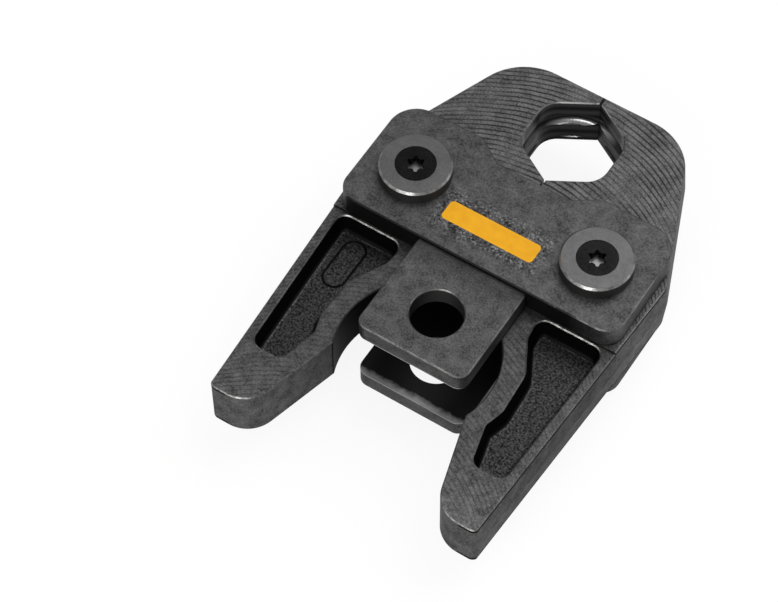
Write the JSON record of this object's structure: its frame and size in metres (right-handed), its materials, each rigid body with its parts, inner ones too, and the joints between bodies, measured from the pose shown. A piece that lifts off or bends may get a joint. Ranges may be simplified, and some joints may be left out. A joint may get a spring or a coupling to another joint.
{
  "type": "press fitting tool jaw",
  "caption": "Press tool jaw: two spring-closed levers pivot between T-shaped plates and meet in a hexagonal press contour; a bore takes the tool's lock bolt.",
  "frame": {"origin": "centre of the lock bolt bore, halfway between the two plates", "axes": "+Y from the lock bolt bore towards the nose with the press contour, +X to the right, +Z along the lock bolt bore and both pivot pins"},
  "size_m": [0.0878, 0.1291, 0.0386],
  "materials": {
    "lever_steel": "forged, machined and blackened",
    "plate_steel": "machined, grained and blackened",
    "pin_steel": "ground and hardened",
    "washer_steel": "turned, satin",
    "screw_steel": "blackened",
    "spring_steel": "drawn wire"
  },
  "bodies": {
    "plates": {"upper_plate": "plate_steel", "lower_plate": "plate_steel", "left_pin": "pin_steel", "right_pin": "pin_steel", "upper_left_washer": "washer_steel", "upper_right_washer": "washer_steel", "lower_left_washer": "washer_steel", "lower_right_washer": "washer_steel", "upper_left_screw": "screw_steel", "upper_right_screw": "screw_steel", "lower_left_screw": "screw_steel", "lower_right_screw": "screw_steel", "closing_spring": "spring_steel"},
    "left_lever": {"left_jaw": "lever_steel"},
    "right_lever": {"right_jaw": "lever_steel"}
  },
  "joints": [
    {"name": "left_jaw_pivot", "type": "hinge", "parent": "plates", "child": "left_lever", "pos_m": [-0.027, 0.0327, 0], "axis": [0, 0, 1], "range_deg": [0, 18], "stiffness_Nm_per_rad": 1.6, "springref_deg": -17.19, "deforming": ["closing_spring"]},
    {"name": "right_jaw_pivot", "type": "hinge", "parent": "plates", "child": "right_lever", "pos_m": [0.027, 0.0327, 0], "axis": [0, 0, -1], "range_deg": [0, 18], "stiffness_Nm_per_rad": 1.6, "springref_deg": -17.19, "deforming": ["closing_spring"]}
  ]
}
